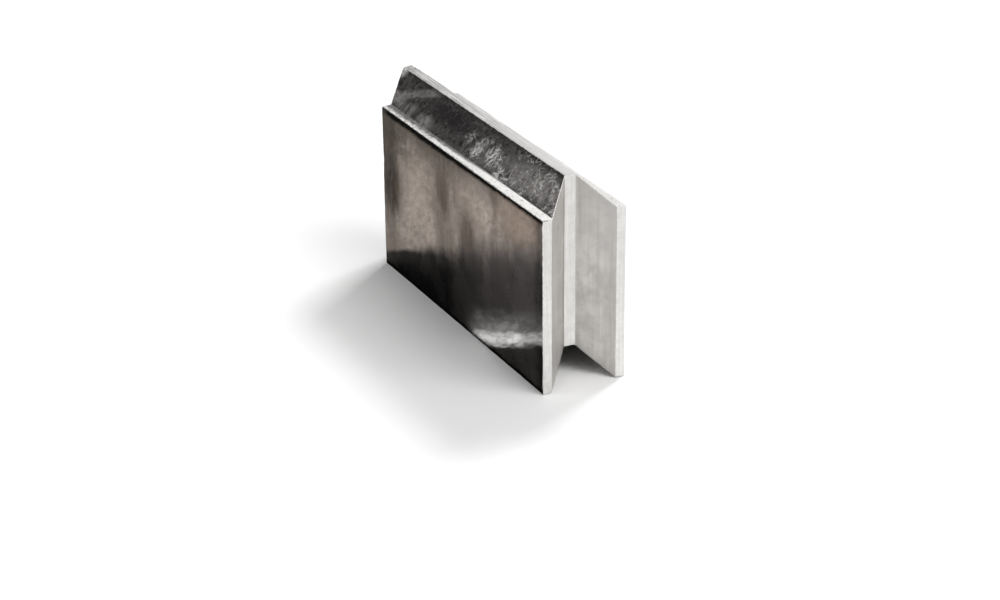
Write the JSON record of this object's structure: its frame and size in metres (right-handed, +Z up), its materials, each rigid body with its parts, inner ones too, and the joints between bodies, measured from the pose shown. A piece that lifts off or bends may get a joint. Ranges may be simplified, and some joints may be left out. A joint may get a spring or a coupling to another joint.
{
  "type": "lead brick",
  "caption": "Cast lead shielding brick that stands on its long edge, with a V-shaped tongue along the top and one end and matching V grooves along the bottom and the other end.",
  "frame": {"origin": "middle of the bounding box, on the floor that the brick stands on", "axes": "+X along the brick from the end tongue to the end groove, +Y through its thickness from the front face to the back face, +Z up to the top tongue"},
  "size_m": [0.216, 0.05, 0.116],
  "materials": {
    "lead": "cast lead, satin, with a dull grey oxide skin"
  },
  "bodies": {
    "root": {"lead_brick": "lead"}
  },
  "joints": []
}
